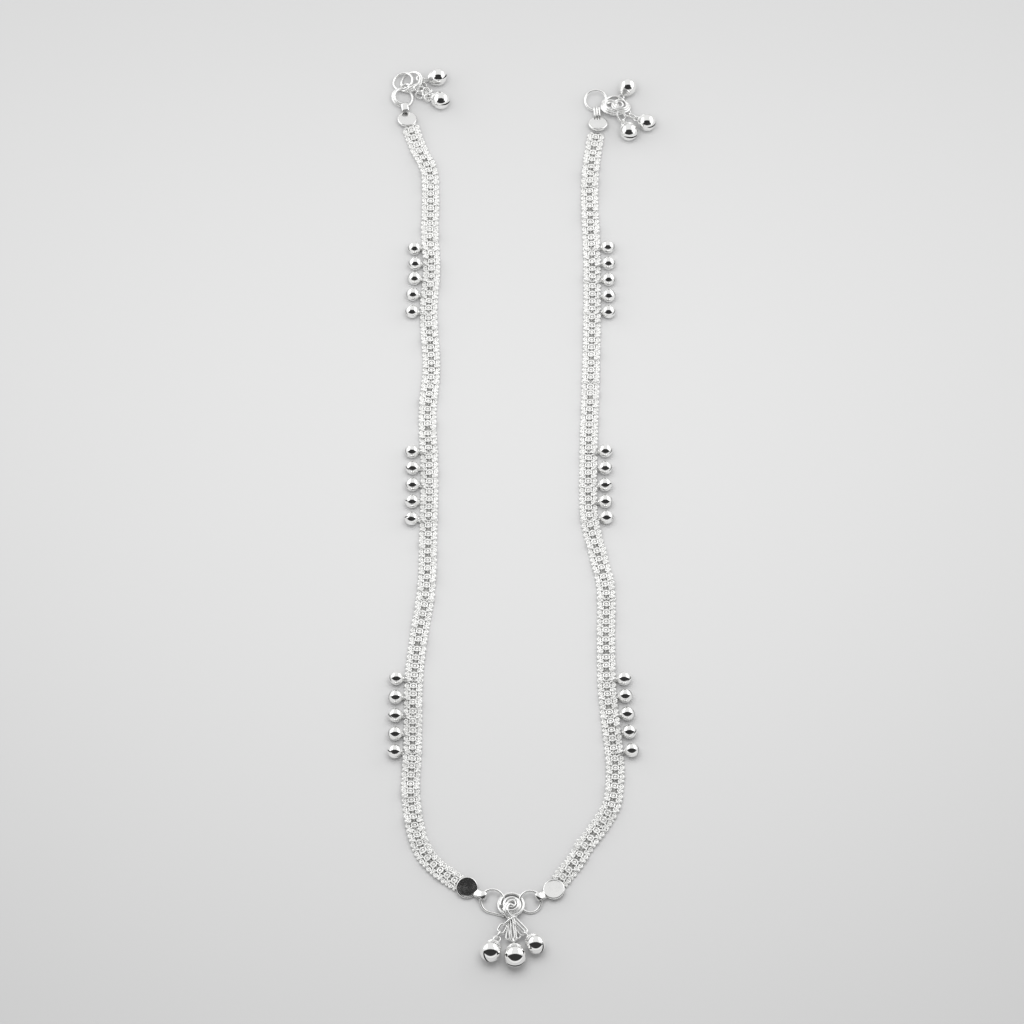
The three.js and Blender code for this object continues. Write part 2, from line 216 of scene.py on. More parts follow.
def bead(centre, half, rows=4, sides=6):
    """A small ball or egg: centre + half * (cos b cos a, cos b sin a, sin b), cut flat at the ends
    of b, 1.2 radians up and down."""
    b = np.linspace(-1.2, 1.2, rows)[:, None]
    a = np.linspace(0, 2 * np.pi, sides, endpoint=False)[None]
    ball = np.stack([np.cos(b) * np.cos(a), np.cos(b) * np.sin(a), np.sin(b) + 0 * a], -1)
    return skin(centre + np.asarray(half) * ball)


def join(*shapes):
    """Several (points, faces) as one."""
    starts = np.cumsum([0] + [len(points) for points, faces in shapes])
    faces = [faces + start for (points, faces), start in zip(shapes, starts)]
    return np.vstack([points for points, _ in shapes]), np.vstack(faces)


def stamp(shape, frames, lean):
    """One copy of a shape for each frame (origin, along, across, up): o + x*along + y*across +
    z*up. lean gives each copy its own slopes (s, t), which raise a point by s*x + t*y, and the
    whole copy then rises by what it would be below the table."""
    points, faces = shape
    origin, along, across, up = frames
    n = len(origin)
    local = np.repeat(points[None], n, 0)
    local[:, :, 2] += np.einsum("nk,nvk->nv", lean, local[:, :, :2])
    lowest = local[:, :, 2].min(1) + origin[:, 2]
    local[:, :, 2] -= np.minimum(lowest, 0)[:, None]
    placed = (
        origin[:, None]
        + local[..., 0:1] * along[:, None]
        + local[..., 1:2] * across[:, None]
        + local[..., 2:3] * up[:, None]
    )
    every = faces[None] + len(points) * np.arange(n)[:, None, None]
    return placed.reshape(-1, 3), every.reshape(-1, 3)


def piece(node, slot, *looks):
    """Makes a smooth mesh of (shape, material) pairs in millimetres, to stand for a CAD node."""
    points, faces = join(*(shape for shape, _ in looks))
    mesh = bpy.data.meshes.new(node + "_fine")
    mesh.from_pydata(((points + ORIGIN) * MM).tolist(), [], faces.tolist())
    which = np.repeat(np.arange(len(looks)), [len(shape[1]) for shape, _ in looks])
    for _, material in looks:
        mesh.materials.append(material)
    mesh.polygons.foreach_set("material_index", which.astype(np.int32))
    mesh.polygons.foreach_set("use_smooth", np.ones(len(faces), bool))
    mesh.update()
    made = bpy.data.objects.new(node + "_fine", mesh)
    bpy.context.scene.collection.objects.link(made)
    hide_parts(node)
    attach(made, "root")


def spline(points, steps=40):
    """Centripetal Catmull-Rom through points: cubic Hermite spans whose end slopes are those of
    the parabolas through three points, spaced by the root of their distance."""
    p = np.asarray(points, float)
    p = np.vstack([2 * p[0] - p[1], p, 2 * p[-1] - p[-2]])
    a, b, c, d = p[:-3], p[1:-2], p[2:-1], p[3:]
    u, v, w = (np.linalg.norm(q - o, axis=1)[:, None] ** 0.5 for o, q in ((a, b), (b, c), (c, d)))
    start = v * ((b - a) / u - (c - a) / (u + v) + (c - b) / v)
    end = v * ((c - b) / v - (d - b) / (v + w) + (d - c) / w)
    t = np.linspace(0, 1, steps, endpoint=False)[:, None, None]
    curve = (
        (2 * t**3 - 3 * t**2 + 1) * b
        + (t**3 - 2 * t**2 + t) * start
        + (3 * t**2 - 2 * t**3) * c
        + (t**3 - t**2) * end
    )
    return np.vstack([curve.transpose(1, 0, 2).reshape(-1, p.shape[1]), p[-2]])


class Strand:
    """A strand's middle line, by length from its free end, and where its bells and bars are. Bars
    are at the first, third and last bell of a group, and halfway along each stretch between."""

    def __init__(self, side):
        self.side = side
        self.line = spline(ROUTES[side])
        gaps = np.linalg.norm(np.diff(self.line, axis=0), axis=1)
        self.lengths = np.concatenate([[0], np.cumsum(gaps)])
        self.total = self.lengths[-1]
        middles = np.interp([-y for y in GROUP_Y], -self.line[:, 1], self.lengths)
        self.bells = (middles[:, None] + BELL_PITCH * np.arange(-2, 3)).ravel()
        bars = [0]
        for first, _, third, _, fifth in self.bells.reshape(-1, 5):
            bars += [(bars[-1] + first) / 2, first, third, fifth]
        self.bars = np.array(bars[1:] + [(bars[-1] + self.total) / 2])

    def frames(self, lengths, height=0.0):
        """(origin, along, outward, up) at lengths along the strand, which is taken to run from the
        point 0.3 before each length to the point 0.3 after it."""
        lengths = np.asarray(lengths, float)
        at = [np.interp(lengths, self.lengths, self.line[:, k]) for k in (0, 1)]
        near, far = (
            np.stack([np.interp(lengths + e, self.lengths, self.line[:, k]) for k in (0, 1)], -1)
            for e in (-0.3, 0.3)
        )
        zero = np.zeros(len(lengths))
        along = unit(np.column_stack([far - near, zero]))
        across = np.column_stack([-along[:, 1], along[:, 0], zero])
        across *= np.sign(across[:, 0] * OUTWARD[self.side])[:, None]
        up = np.tile([0.0, 0.0, 1.0], (len(lengths), 1))
        return np.column_stack([*at, zero + height]), along, across, up


def link_shape():
    """One link of the weave: a middle ring round a bead, side rings half a link further on, side
    loops, edge beads, curved arms, and a thin wire that crosses to the next link."""
    shapes = [
        hoop((0, 0, 0.92), 0.66, 0.86, 0.48, 16, 6),
        bead((0, 0, 0.78), (0.38, 0.52, 0.3), 5, 8),
        wire([(-1.25, 0.2, 0.6), (-0.6, 0, 0.8), (0.6, 0, 0.8), (1.25, -0.2, 0.6)], 0.12, 5),
    ]
    for side in (-1, 1):
        shapes.append(hoop((LINK / 2, side * 1.36, 0.9), 0.46, 0.52, 0.38))
        shapes.append(bead((LINK / 2, side * 1.36, 0.78), (0.32, 0.36, 0.3)))
        shapes.append(hoop((0, side * 1.76, 0.8), 0.62, 0.42, 0.38))
        shapes.append(bead((0, side * 1.76, 0.7), (0.4, 0.3, 0.3)))
        shapes.append(bead((0, side * 2.26, 0.72), (0.52, 0.28, 0.44)))
        shapes.append(bead((LINK / 2, side * 2.16, 0.72), (0.48, 0.32, 0.44)))
        for way in (-1, 1):
            arm = [
                (0.45 * way, 0.6 * side, 1.1), (0.8 * way, 1.1 * side, 1.2),
                (1.15 * way, 1.9 * side, 0.75),
            ]
            shapes.append(wire(arm, 0.19, 5))
    return join(*shapes)


def bar_shape():
    """A cross bar: small rings at the sides of a dark gap that two pairs of wires cross."""
    shapes = [hoop((0, y, 0.95), 0.4, 0.42, 0.3, 10, 5) for y in (-2, -1.25, 1.25, 2)]
    for way in (-1, 1):
        long_wire = [
            (-0.6 * way, -2.3, 0.7), (-0.1 * way, -0.5, 0.75),
            (0.1 * way, 0.5, 0.75), (0.6 * way, 2.3, 0.7),
        ]
        short_wire = [(-0.5, 0.25 * way, 0.9), (0, 0.75 * way, 1.05), (0.5, 0.25 * way, 0.9)]
        shapes.append(wire(long_wire, 0.14, 5))
        shapes.append(wire(short_wire, 0.16, 5))
    return join(*shapes)


def strip(strand, low, high, half_width):
    """A flat band under the weave: four corners (+-half_width, low or high) at each step."""
    lengths = np.arange(STRAND_ENDS, strand.total - STRAND_ENDS, STRIP_STEP)
    origin, _, across, _ = strand.frames(lengths)
    corners = [(-1, low), (1, low), (1, high), (-1, high)]
    rows = [origin + y * half_width * across + (0, 0, z) for y, z in corners]
    return skin(np.stack(rows, 1))


WHITE, PEARL = (0.9, 0.9, 0.89), (0.74, 0.74, 0.725)
# The next two colours are painted shade, for the dark layer that stands for the weave's deep holes.
SHADE, DEEP_SHADE = (0.55, 0.55, 0.535), (0.2, 0.2, 0.195)
silver_wire = metal("woven_silver_wire", WHITE, PEARL, 0.3, 0.15, 2600.0, 4e-5, 0.5)
weave_shade_paint = metal("painted_shade_in_weave", SHADE, DEEP_SHADE, 0.65, 0.2, 3000.0, 6e-5, 0.4)

STRANDS = {}
for side_name in ROUTES:
    strand = Strand(side_name)
    STRANDS[side_name] = strand
    edges = np.concatenate([[STRAND_ENDS], strand.bars, [strand.total - STRAND_ENDS]])
    places = []
    for start, stop in zip(edges[:-1], edges[1:]):
        count = max(1, round((stop - start - STATION) / LINK))
        pitch = (stop - start - STATION) / count
        places.append(start + STATION / 2 + pitch * (np.arange(count) + 0.5))
    places = np.concatenate(places)
    lean = np.clip(RNG.normal(0, LEAN, (len(places), 2)), -MOST_LEAN, MOST_LEAN)
    heights = RNG.normal(0, HEIGHT_SPREAD, len(places))
    places = places + RNG.normal(0, PLACE_SPREAD, len(places))
    weave = stamp(link_shape(), strand.frames(places, heights), lean)
    bar_lean = RNG.normal(0, BAR_LEAN, (len(strand.bars), 2))
    bars = stamp(bar_shape(), strand.frames(strand.bars), bar_lean)
    base = strip(strand, *BASE, BASE_HALF)
    # The dark layer under the weave, painted shade.
    shade_strip = strip(strand, *CORE, CORE_HALF)
    piece("chain_" + side_name, "chain", (join(weave, bars, base), silver_wire), (shade_strip, weave_shade_paint))

# ---- The side bells ----
# Thirty small hollow bells of thin polished silver sheet, each pinched to a slit at its outer end.
# A wire loop on a short collar goes round a small ring soldered to the chain's edge.

SIDE_RADIUS = 1.9
SIDE_OUT = 4.62  # from the middle of the strand to the middle of the ball
SIDE_SLIT = (0.36, 0.85)  # its width, and how far it reaches each way, in radians
SIDE_ROLL = 0.5  # how unevenly the slits are turned
SLIT_END = 0.0004  # the least that the square of a slit's width comes to, against its middle's
GROOVE, NO_GROOVE = 0.3, 0.02  # how deep its floor lies, against the ball's radius
COLLAR = [(0.75, 1.6), (0.78, 1.8), (0.6, 1.92), (0.42, 1.98), (0.36, 2.1)]  # radius, height
SIDE_LOOP, SIDE_LOOP_RADIUS, SIDE_LOOP_WIRE = 2.6, 0.62, 0.19  # 2.6 from the middle of the ball
SIDE_LOOP_OUT, SIDE_LOOP_Z = 2.2, 0.95  # the point by the weave that its axis runs towards
EYE_RADIUS, EYE_WIRE, EYE_IN = 0.5, 0.34, 0.12  # the small ring there on the chain's edge


def ball(radius, slit_width, slit_reach, rows, sides):
    """A ball whose poles lie on +-y, with a groove across its -z side. Row b and column a are at
    r (cos b sin a, sin b, -cos b cos a). The groove's edges keep x at +-w/2, where w tapers as
    (1 - (b / reach)^2)^(1/2); its floor columns lie below the surface. Returns two shapes: the
    ball, open along the groove, and the groove."""
    b = np.linspace(-np.pi / 2, np.pi / 2, rows + 2)[1:-1]
    half = slit_width / 2 * np.sqrt(np.clip(1 - (b / slit_reach) ** 2, SLIT_END, 1))
    edge = np.arcsin(np.clip(half / (radius * np.cos(b)), 0, 0.5))
    turn = np.linspace(0, 1, sides)[None]
    a = edge[:, None] + (2 * np.pi - 2 * edge[:, None]) * turn
    depth = np.where(np.abs(b) < slit_reach, GROOVE, NO_GROOVE)[:, None] * radius
    floor = np.stack([2 * np.pi - 0.9 * edge, 2 * np.pi + 0.9 * edge], -1)
    angles = np.hstack([a, floor])
    radii = np.hstack([np.full_like(a, radius), radius - np.hstack([depth, depth])])
    b = b[:, None]
    x, z = np.cos(b) * np.sin(angles), -np.cos(b) * np.cos(angles)
    points, faces = skin(np.stack([x, np.sin(b) + 0 * angles, z], -1) * radii[..., None])
    column = faces % (sides + 2)
    inside = (faces < rows * (sides + 2)).all(1) & (column >= sides - 1).any(1) & (
        (column >= sides).any(1) | ((column == 0).any(1) & (column == sides - 1).any(1)))
    return (points, faces[~inside]), (points, faces[inside])


def lathe(profile, sides=24):
    """A turned shape: (r cos a, r sin a, z) for each (r, z) of the profile."""
    r, z = np.asarray(profile, float).T[..., None]
    a = np.linspace(0, 2 * np.pi, sides, endpoint=False)
    return skin(np.stack([r * np.cos(a), r * np.sin(a), z + 0 * a], -1))


def ring_path(radius, steps):
    """A circle in the XZ plane: r (cos t, 0, sin t)."""
    t = np.linspace(0, 2 * np.pi, steps, endpoint=False)
    return radius * np.stack([np.cos(t), 0 * t, np.sin(t)], -1)


def placed(shape, x, y, z, at):
    """The shape's own axes laid along x, y and z, with its middle at a point."""
    points, faces = shape
    return points @ np.array([x, y, z]) + at, faces


def bell_axes(ball_at, loop_at, roll):
    """Axes of a bell whose +z points from its ball to its loop, and whose slit runs along y:
    level at roll 0, and turned about the axis by roll."""
    z = unit(np.subtract(loop_at, ball_at))
    y = unit(np.cross((0, 0, 1), z))
    x = np.cross(y, z)
    c, s = math.cos(roll), math.sin(roll)
    return x * c + y * s, y * c - x * s, z


MIRROR, MIRROR_DULL = (0.985, 0.985, 0.975), (0.95, 0.95, 0.94)
# The slit colours are painted shade: the groove's floor is dark to stand for the unlit hollow inside
# the bell.
SLIT_SHADE, SLIT_DEEP_SHADE = (0.12, 0.12, 0.12), (0.04, 0.04, 0.04)
bright_bell = metal("polished_bell_sheet", MIRROR, MIRROR_DULL, 0.05, 0.03, 1500.0, 6e-6)
slit_shade_paint = metal("painted_shade_in_bell_slits", SLIT_SHADE, SLIT_DEEP_SHADE, 0.5, 0.1, 2000.0, 1e-5)

side_ball, side_slit = ball(SIDE_RADIUS, *SIDE_SLIT, 22, 30)
side_collar = lathe(COLLAR)
loop_line = ring_path(SIDE_LOOP_RADIUS, 20) + (0, 0, SIDE_LOOP)
side_loop = wire(loop_line, SIDE_LOOP_WIRE, 7, up=(0, 1, 0), ring=True)
edge_ring = hoop((0, 0, 0), EYE_RADIUS, EYE_RADIUS, EYE_WIRE, 16, 6)
for side_name, strand in STRANDS.items():
    origin, along, outward, up = strand.frames(strand.bells)
    for k in range(len(strand.bells)):
        middle = origin[k] + SIDE_OUT * outward[k] + (0, 0, SIDE_RADIUS)
        loop_at = origin[k] + SIDE_LOOP_OUT * outward[k] + (0, 0, SIDE_LOOP_Z)
        axes = bell_axes(middle, loop_at, RNG.normal(0, SIDE_ROLL))
        eye = placed(edge_ring, along[k], outward[k], up[k], loop_at - EYE_IN * outward[k])
        body = join(placed(side_ball, *axes, middle), placed(side_collar, *axes, middle))
        fittings = join(placed(side_loop, *axes, middle), eye)
        node = f"side_bell_{side_name}_{k + 1:02d}"
        slit = placed(side_slit, *axes, middle)
        piece(node, "bell", (join(body, fittings), bright_bell), (slit, slit_shade_paint))

# ---- The rings of the clasp and the free ends ----
# Round jump rings bent from silver wire. Some are coils of a few turns, like a key ring, and at the
# free ends and the clasp several lie together. The left clasp ring is left open as a hook with a tail.

WIRE_BRIGHT, WIRE_DULL = (0.97, 0.97, 0.96), (0.88, 0.88, 0.87)
ring_wire = metal("polished_ring_wire", WIRE_BRIGHT, WIRE_DULL, 0.2, 0.1, 1800.0, 1e-5, 0.85)

RING_WIRE, COIL_WIRE = 0.35, 0.24  # half the thickness of plain and of fine wire
COIL_IN, COIL_UP = 0.45, 1.6

# name: its coils, each with centre, radius, heading and tilt in degrees, how many turns the wire
# makes from where in degrees, and its own radius
RINGS = {
    "clasp_ring": [((-0.15, -112.9, 1.45), 3.25, 0, -13, 1.4, 50, RING_WIRE)],
    "clasp_end_ring": [((4.75, -112.1, 1.1), 2.8, 0, 15, 1, 0, RING_WIRE)],
    "drop_carrier_ring": [
        ((-0.1, -114.9, 2.15), 1.85, 90, 42, 2.2, 40, RING_WIRE),
        ((-0.1, -113.1, 2.0), 2.05, 0, -12, 1.6, 200, RING_WIRE),
        ((0.0, -113.0, 2.4), 1.05, 0, -12, 1.3, 30, COIL_WIRE),
    ],
    "top_left_ring_1": [((-31.8, 132.8, 1.65), 2.8, 78, 12, 1.5, 100, RING_WIRE)],
    "top_left_ring_2": [
        ((-29.6, 138.3, 1.75), 3.1, 78, -22, 2.3, 200, COIL_WIRE),
        ((-31.8, 138.2, 1.7), 2.9, 78, -16, 1.2, 60, RING_WIRE),
        ((-31.2, 135.9, 2.0), 1.3, 60, -20, 1.4, 10, COIL_WIRE),
    ],
    "top_right_ring_1": [((24.4, 131.6, 1.9), 3.1, -17, 12, 1, 0, RING_WIRE)],
    "top_right_ring_2": [
        ((30.1, 130, 1.9), 3.5, -17, -13, 2.6, 30, COIL_WIRE),
        ((28.7, 129.4, 2.3), 2.1, -17, -8, 2.6, 160, COIL_WIRE),
        ((28.6, 129.6, 2.4), 1.0, -17, -8, 1.4, 20, COIL_WIRE),
        ((31.6, 129.7, 2.2), 2.4, -17, -20, 2.3, 250, COIL_WIRE),
        ((31.2, 129.9, 2.4), 1.1, 10, -14, 1.3, 120, COIL_WIRE),
    ],
}


def tilted(heading, tilt):
    """Axes x, y and z after turning by tilt about the level line k at heading, in degrees: each
    axis v becomes v cos t + (k x v) sin t + k (k . v) (1 - cos t)."""
    h, t = math.radians(heading), math.radians(tilt)
    k = np.array([math.cos(h), math.sin(h), 0])
    turned = []
    for v in np.eye(3):
        held = k * (k @ v) * (1 - math.cos(t))
        turned.append(v * math.cos(t) + np.cross(k, v) * math.sin(t) + held)
    return turned


def round_ring(radius, turns, start, wire_radius):
    """A ring's wire: one closed circle, or a coil (r cos a, r sin a, z) of some turns, whose r
    falls by COIL_IN and whose z rises by COIL_UP times the wire's radius in each turn."""
    if turns == 1:
        return wire(ring_path(radius, 48)[:, (0, 2, 1)], wire_radius, 10, ring=True)
    t = np.linspace(0, turns, int(48 * turns))
    a = math.radians(start) + 2 * np.pi * t
    r = radius - COIL_IN * (t - turns / 2)
    lift = COIL_UP * wire_radius * (t - turns / 2)
    return wire(np.stack([r * np.cos(a), r * np.sin(a), lift], -1), wire_radius, 10)


for node, coils in RINGS.items():
    shapes = [
        placed(round_ring(radius, turns, start, w), *tilted(heading, tilt), np.array(at))
        for at, radius, heading, tilt, turns, start, w in coils
    ]
    piece(node, "wire", (join(*shapes), ring_wire))

HOOK_AT, HOOK_RADIUS, HOOK_HEADING, HOOK_TILT = (-5.1, -111.9, 1.05), 3.0, 0, 13
HOOK_FROM, HOOK_TO = -30, 262  # the degrees that its arc covers
HOOK_TAIL = [(1.5, -3.45, 0.1), (3.2, -3.9, 0.4)]  # where its wire goes on past the arc
hook_angle = np.radians(np.linspace(HOOK_FROM, HOOK_TO, 44))
hook_arc = HOOK_RADIUS * np.stack([np.cos(hook_angle), np.sin(hook_angle), 0 * hook_angle], -1)
hook_line = np.vstack([hook_arc, spline([hook_arc[-1], *HOOK_TAIL], 6)[1:]])
hook_axes = tilted(HOOK_HEADING, HOOK_TILT)
hook = placed(wire(hook_line, RING_WIRE, 10), *hook_axes, np.array(HOOK_AT))
piece("clasp_hook", "wire", (hook, ring_wire))

# ---- The end plates ----
# A round plate of polished silver with a rolled edge closes each end of the weave. A strip folded
# from it makes the bail, which goes round the end ring and is soldered back to the plate.

PLATE_BRIGHT, PLATE_DULL = (0.975, 0.975, 0.965), (0.9, 0.9, 0.89)
plate_metal = metal("polished_end_plate", PLATE_BRIGHT, PLATE_DULL, 0.2, 0.5, 650.0, 3e-5)

# (radius, height) from the middle of the underside, over the rolled edge, to the middle of the top
PLATE_PROFILE = [
    (0.02, -0.45), (2.5, -0.45), (2.68, -0.42), (2.8, -0.3), (2.82, 0), (2.8, 0.28), (2.72, 0.4),
    (2.58, 0.46), (2.46, 0.45), (2.38, 0.42), (1.2, 0.42), (0.02, 0.42),
]
BAIL_ROUND, BAIL_HALF, BAIL_THICK = 0.95, 1.08, 0.3  # how tall, half its width and thickness
BAIL_ROOT = 3.45  # from the centre of the plate
PRONG_WIDTH = 0.8  # against its share of the bail

# name: plate centre, lean of its face in degrees along X and Y, height of the bail's root, how many
# prongs it has, and the ring it holds
PLATES = {
    "end_plate_top_left": ((-30.5, 125.5, 1.15), (2, 13), 1.8, 1, "top_left_ring_1"),
    "end_plate_top_right": ((25, 123.8, 1.45), (0, 18), 1.5, 3, "top_right_ring_1"),
    "end_plate_bottom_left": ((-11.7, -108.3, 1.3), (4, -15), 1.15, 1, "clasp_hook"),
    "end_plate_bottom_right": ((10.9, -108.7, 1.1), (-4, 5), 1.15, 1, "clasp_end_ring"),
}
HELD = {node: coils[0][:4] for node, coils in RINGS.items()}
HELD["clasp_hook"] = (HOOK_AT, HOOK_RADIUS, HOOK_HEADING, HOOK_TILT)

for node, (at, lean, root_z, prongs, held_ring) in PLATES.items():
    ring_at, ring_radius, heading, tilt = HELD[held_ring]
    at, ring_at = np.array(at, float), np.array(ring_at, float)
    normal = unit([math.tan(math.radians(lean[0])), math.tan(math.radians(lean[1])), 1])
    x = unit(np.cross((0, 1, 0), normal))
    plate = placed(lathe(PLATE_PROFILE, 64), x, np.cross(normal, x), normal, at)
    axes = np.array(tilted(heading, tilt))
    reach = axes @ ((at - ring_at) * (1, 1, 0))
    wire_at = ring_at + ring_radius * unit(reach * (1, 1, 0)) @ axes
    way = unit((wire_at - at) * (1, 1, 0))
    root = at + way * BAIL_ROOT
    root[2] = root_z
    # The bail's line is middle + (round + half) cos t ahead + round f sin t up, and is flatter at
    # its root, by f = 0.3 + 0.35 (1 + cos t). Its wire is then widened into one or more strips.
    t = np.linspace(0, 2 * np.pi, 28, endpoint=False)
    middle, half = (root + wire_at) / 2, np.linalg.norm(wire_at - root) / 2
    ahead = (BAIL_ROUND + half) * np.cos(t)[:, None] * unit(wire_at - root)
    flare = (0.3 + 0.35 * (1 + np.cos(t))) * np.sin(t)
    loop = middle + ahead + BAIL_ROUND * flare[:, None] * np.array([0, 0, 1])
    across = np.cross((0, 0, 1), way)
    strips = []
    for k in range(prongs):
        points, faces = wire(loop, BAIL_THICK, 12, up=across, ring=True)
        offset = (points - root) @ across
        spread = BAIL_HALF / BAIL_THICK / prongs * (PRONG_WIDTH if prongs > 1 else 1) - 1
        shift = BAIL_HALF * 2 / prongs * (k - (prongs - 1) / 2)
        strips.append((points + (spread * offset + shift)[:, None] * across, faces))
    piece(node, "plate", (join(plate, *strips), plate_metal))

# ---- The drop bells and their links ----
# Larger bells of the same polished sheet, with a stepped cap of wire rings under the loop. Each
# hangs by one or more oval wire links from the carrier ring at the clasp or from an end ring.

DROP_RADIUS = 2.55
DROP_SLIT = (0.52, 0.95)  # its width and reach
DROP_LOOP, DROP_LOOP_RADIUS, DROP_LOOP_WIRE = 3.75, 0.8, 0.22  # 3.75 from the ball's middle

# (radius, height) up the cap, and (radius, height, half thickness) of the wire rings on it
CAP = [(2.08, 1.3), (1.85, 1.7), (1.6, 2.05), (1.2, 2.42), (0.75, 2.72), (0.5, 3.0)]
CAP_RINGS = [(2.02, 1.5, 0.24), (1.78, 1.93, 0.24), (1.42, 2.34, 0.24), (1.0, 2.68, 0.2)]

drop_ball, drop_slit = ball(DROP_RADIUS, *DROP_SLIT, 30, 44)
steps = [
    wire(ring_path(r, 28)[:, (0, 2, 1)] + (0, 0, z), w, 7, ring=True)
    for r, z, w in CAP_RINGS
]
drop_cap = join(lathe(CAP), *steps)
loop_line = ring_path(DROP_LOOP_RADIUS, 24) + (0, 0, DROP_LOOP)
drop_loop = wire(loop_line, DROP_LOOP_WIRE, 8, up=(0, 1, 0), ring=True)

# name: ball place, its size against DROP_RADIUS, loop height, whether the first link stands
# upright, slit roll, and the points where its links meet from the ring on
DROPS = {
    "bottom_left": (
        (-5.5, -126), 1.08, 1.9, True, 0.9,
        [(-0.4, -117.3, 2.4), (-2.0, -118.7, 2.1), (-3.1, -120.6, 1.9)],
    ),
    "bottom_middle": ((0.8, -127.3), 1.13, 1.9, False, 0.0, [(-0.2, -117.4, 1.9)]),
    "bottom_right": ((6.1, -124), 1.0, 1.9, False, -0.9, [(0.05, -117.2, 1.5)]),
    "top_left_1": ((-21.6, 139.2), 1.0, 1.6, False, 0.6, [(-27.4, 138.4, 2.6)]),
    "top_left_2": (
        (-20.7, 131.1), 1.0, 1.6, False, 0.4,
        [(-28.0, 135.8, 2.4), (-26.5, 134.7, 1.5), (-25.2, 133.9, 1.4)],
    ),
    "top_right_1": ((33.8, 135.8), 0.97, 1.45, True, 0.0, [(31.9, 132.9, 1.2)]),
    "top_right_2": ((39.2, 123.6), 0.97, 1.6, False, 0.3, [(32.7, 127.9, 2.4), (34, 126.9, 1.6)]),
    "top_right_3": ((33.9, 120.4), 1.0, 1.6, False, 0.2, [(31.3, 126.7, 2.5), (32.2, 125, 1.5)]),
}
OWN_LOOP = "top_right_1"  # hangs on the ring by its own loop, with no link

LINK_HALF = {"bottom_left": 0.9, "bottom_middle": 0.85, "bottom_right": 1.1}
PLAIN_HALF, LINK_WIRE = 0.95, 0.54  # half the width of any other link, and the wire's thickness
LINK_TIP = 0.6  # how far a link reaches past the wire that it hangs on
JOINT_TIP = 0.22  # and past the place where it meets the next link

# A narrower link of thinner wire lies over the first one at the clasp, and two more of them fan out
# beside the middle one.
THIN_WIRE = 0.8 * LINK_WIRE
INNER_UP, INNER_TIPS, INNER_HALF = np.array([0, 0, 0.35]), (0.3, 0.1), 0.3
FAN_ASIDE, FAN_TIPS, FAN_HALF = 1.5, (0.4, 0), 0.5

# Spare rings closed round the links where the top left bells hang: place, heading and tilt
KNOT = [
    ((-26.4, 134.9, 1.9), 20, 35), ((-25.3, 133.4, 1.6), 100, 50), ((-24.3, 134.8, 1.5), 60, -40),
    ((-25.0, 134.3, 2.3), -30, 30), ((-23.9, 133.1, 1.5), 10, 60), ((-27.3, 136.2, 1.9), 40, 25),
    ((-24.6, 132.6, 1.7), 70, 20), ((-26.1, 136.6, 1.6), 15, 50), ((-27.0, 133.6, 1.5), -20, 35),
]
KNOT_RADIUS = 1.05


def oval(start, end, tips, half_width, thickness, up):
    """An oval link in the plane square to up, which reaches tips beyond start and end: straight
    sides between half circles, or an ellipse where it is too short for them."""
    x = unit(np.subtract(end, start))
    y = unit(np.cross(up, x))
    t = np.linspace(0, 2 * np.pi, 32, endpoint=False)
    first, last = np.asarray(start, float) - tips[0] * x, np.asarray(end, float) + tips[1] * x
    half = np.linalg.norm(last - first) / 2
    round_end = min(half, half_width)
    ahead = round_end * np.cos(t) + (half - round_end) * np.sign(np.cos(t))
    path = (first + last) / 2 + ahead[:, None] * x + (half_width * np.sin(t))[:, None] * y
    return wire(path, thickness / 2, 8, up=np.cross(x, y), ring=True)


for name, (at, size, loop_z, upright, roll, hangs) in DROPS.items():
    middle = np.array([*at, size * DROP_RADIUS])
    level = unit((hangs[-1] - middle) * (1, 1, 0))
    rise = loop_z - middle[2]
    reach = size * DROP_LOOP
    loop_at = middle + level * math.sqrt(reach**2 - rise**2) + (0, 0, rise)
    axes = [size * axis for axis in bell_axes(middle, loop_at, roll)]
    cap = join(placed(drop_ball, *axes, middle), placed(drop_cap, *axes, middle))
    slit = placed(drop_slit, *axes, middle)
    last_upright = upright == (len(hangs) % 2 == 1)
    loop_roll = math.pi / 2 if last_upright else 0
    loop_axes = [size * axis for axis in bell_axes(middle, loop_at, loop_roll)]
    loop = placed(drop_loop, *loop_axes, middle)
    piece("drop_bell_" + name, "bell", (cap, bright_bell), (slit, slit_shade_paint), (loop, ring_wire))
    if name == OWN_LOOP:
        continue
    far = loop_at + DROP_LOOP_RADIUS * axes[2]
    stops = [*np.array(hangs, float), far]
    across = np.cross((0, 0, 1), level)
    links = []
    for k, (start, end) in enumerate(zip(stops[:-1], stops[1:])):
        tips = (LINK_TIP if k == 0 else JOINT_TIP, LINK_TIP if k == len(stops) - 2 else JOINT_TIP)
        up = across if upright == (k % 2 == 0) else (0, 0, 1)
        links.append(oval(start, end, tips, LINK_HALF.get(name, PLAIN_HALF), LINK_WIRE, up))
        if k == 0 and name in LINK_HALF:
            over, over_end = start + INNER_UP, end + INNER_UP
            links.append(oval(over, over_end, INNER_TIPS, INNER_HALF, THIN_WIRE, up))
    if name == "bottom_middle":
        for way in (-1, 1):
            aside = FAN_ASIDE * way * across
            near = start + 0.1 * aside
            links.append(oval(near, far + aside, FAN_TIPS, FAN_HALF, THIN_WIRE, INNER_UP))
    if name == "top_left_2":
        for knot_at, heading, tilt in KNOT:
            ring = wire(ring_path(KNOT_RADIUS, 24)[:, (0, 2, 1)], LINK_WIRE / 2, 8, ring=True)
            links.append(placed(ring, *tilted(heading, tilt), np.array(knot_at)))
    piece("drop_link_" + name, "wire", (join(*links), ring_wire))

# ---- The table, the light and the camera ----
# The anklet lies on a pale matt sheet in a white tent lit from above, open on the viewer's side to
# a dark room, which is what the bells and plates show in their middles.


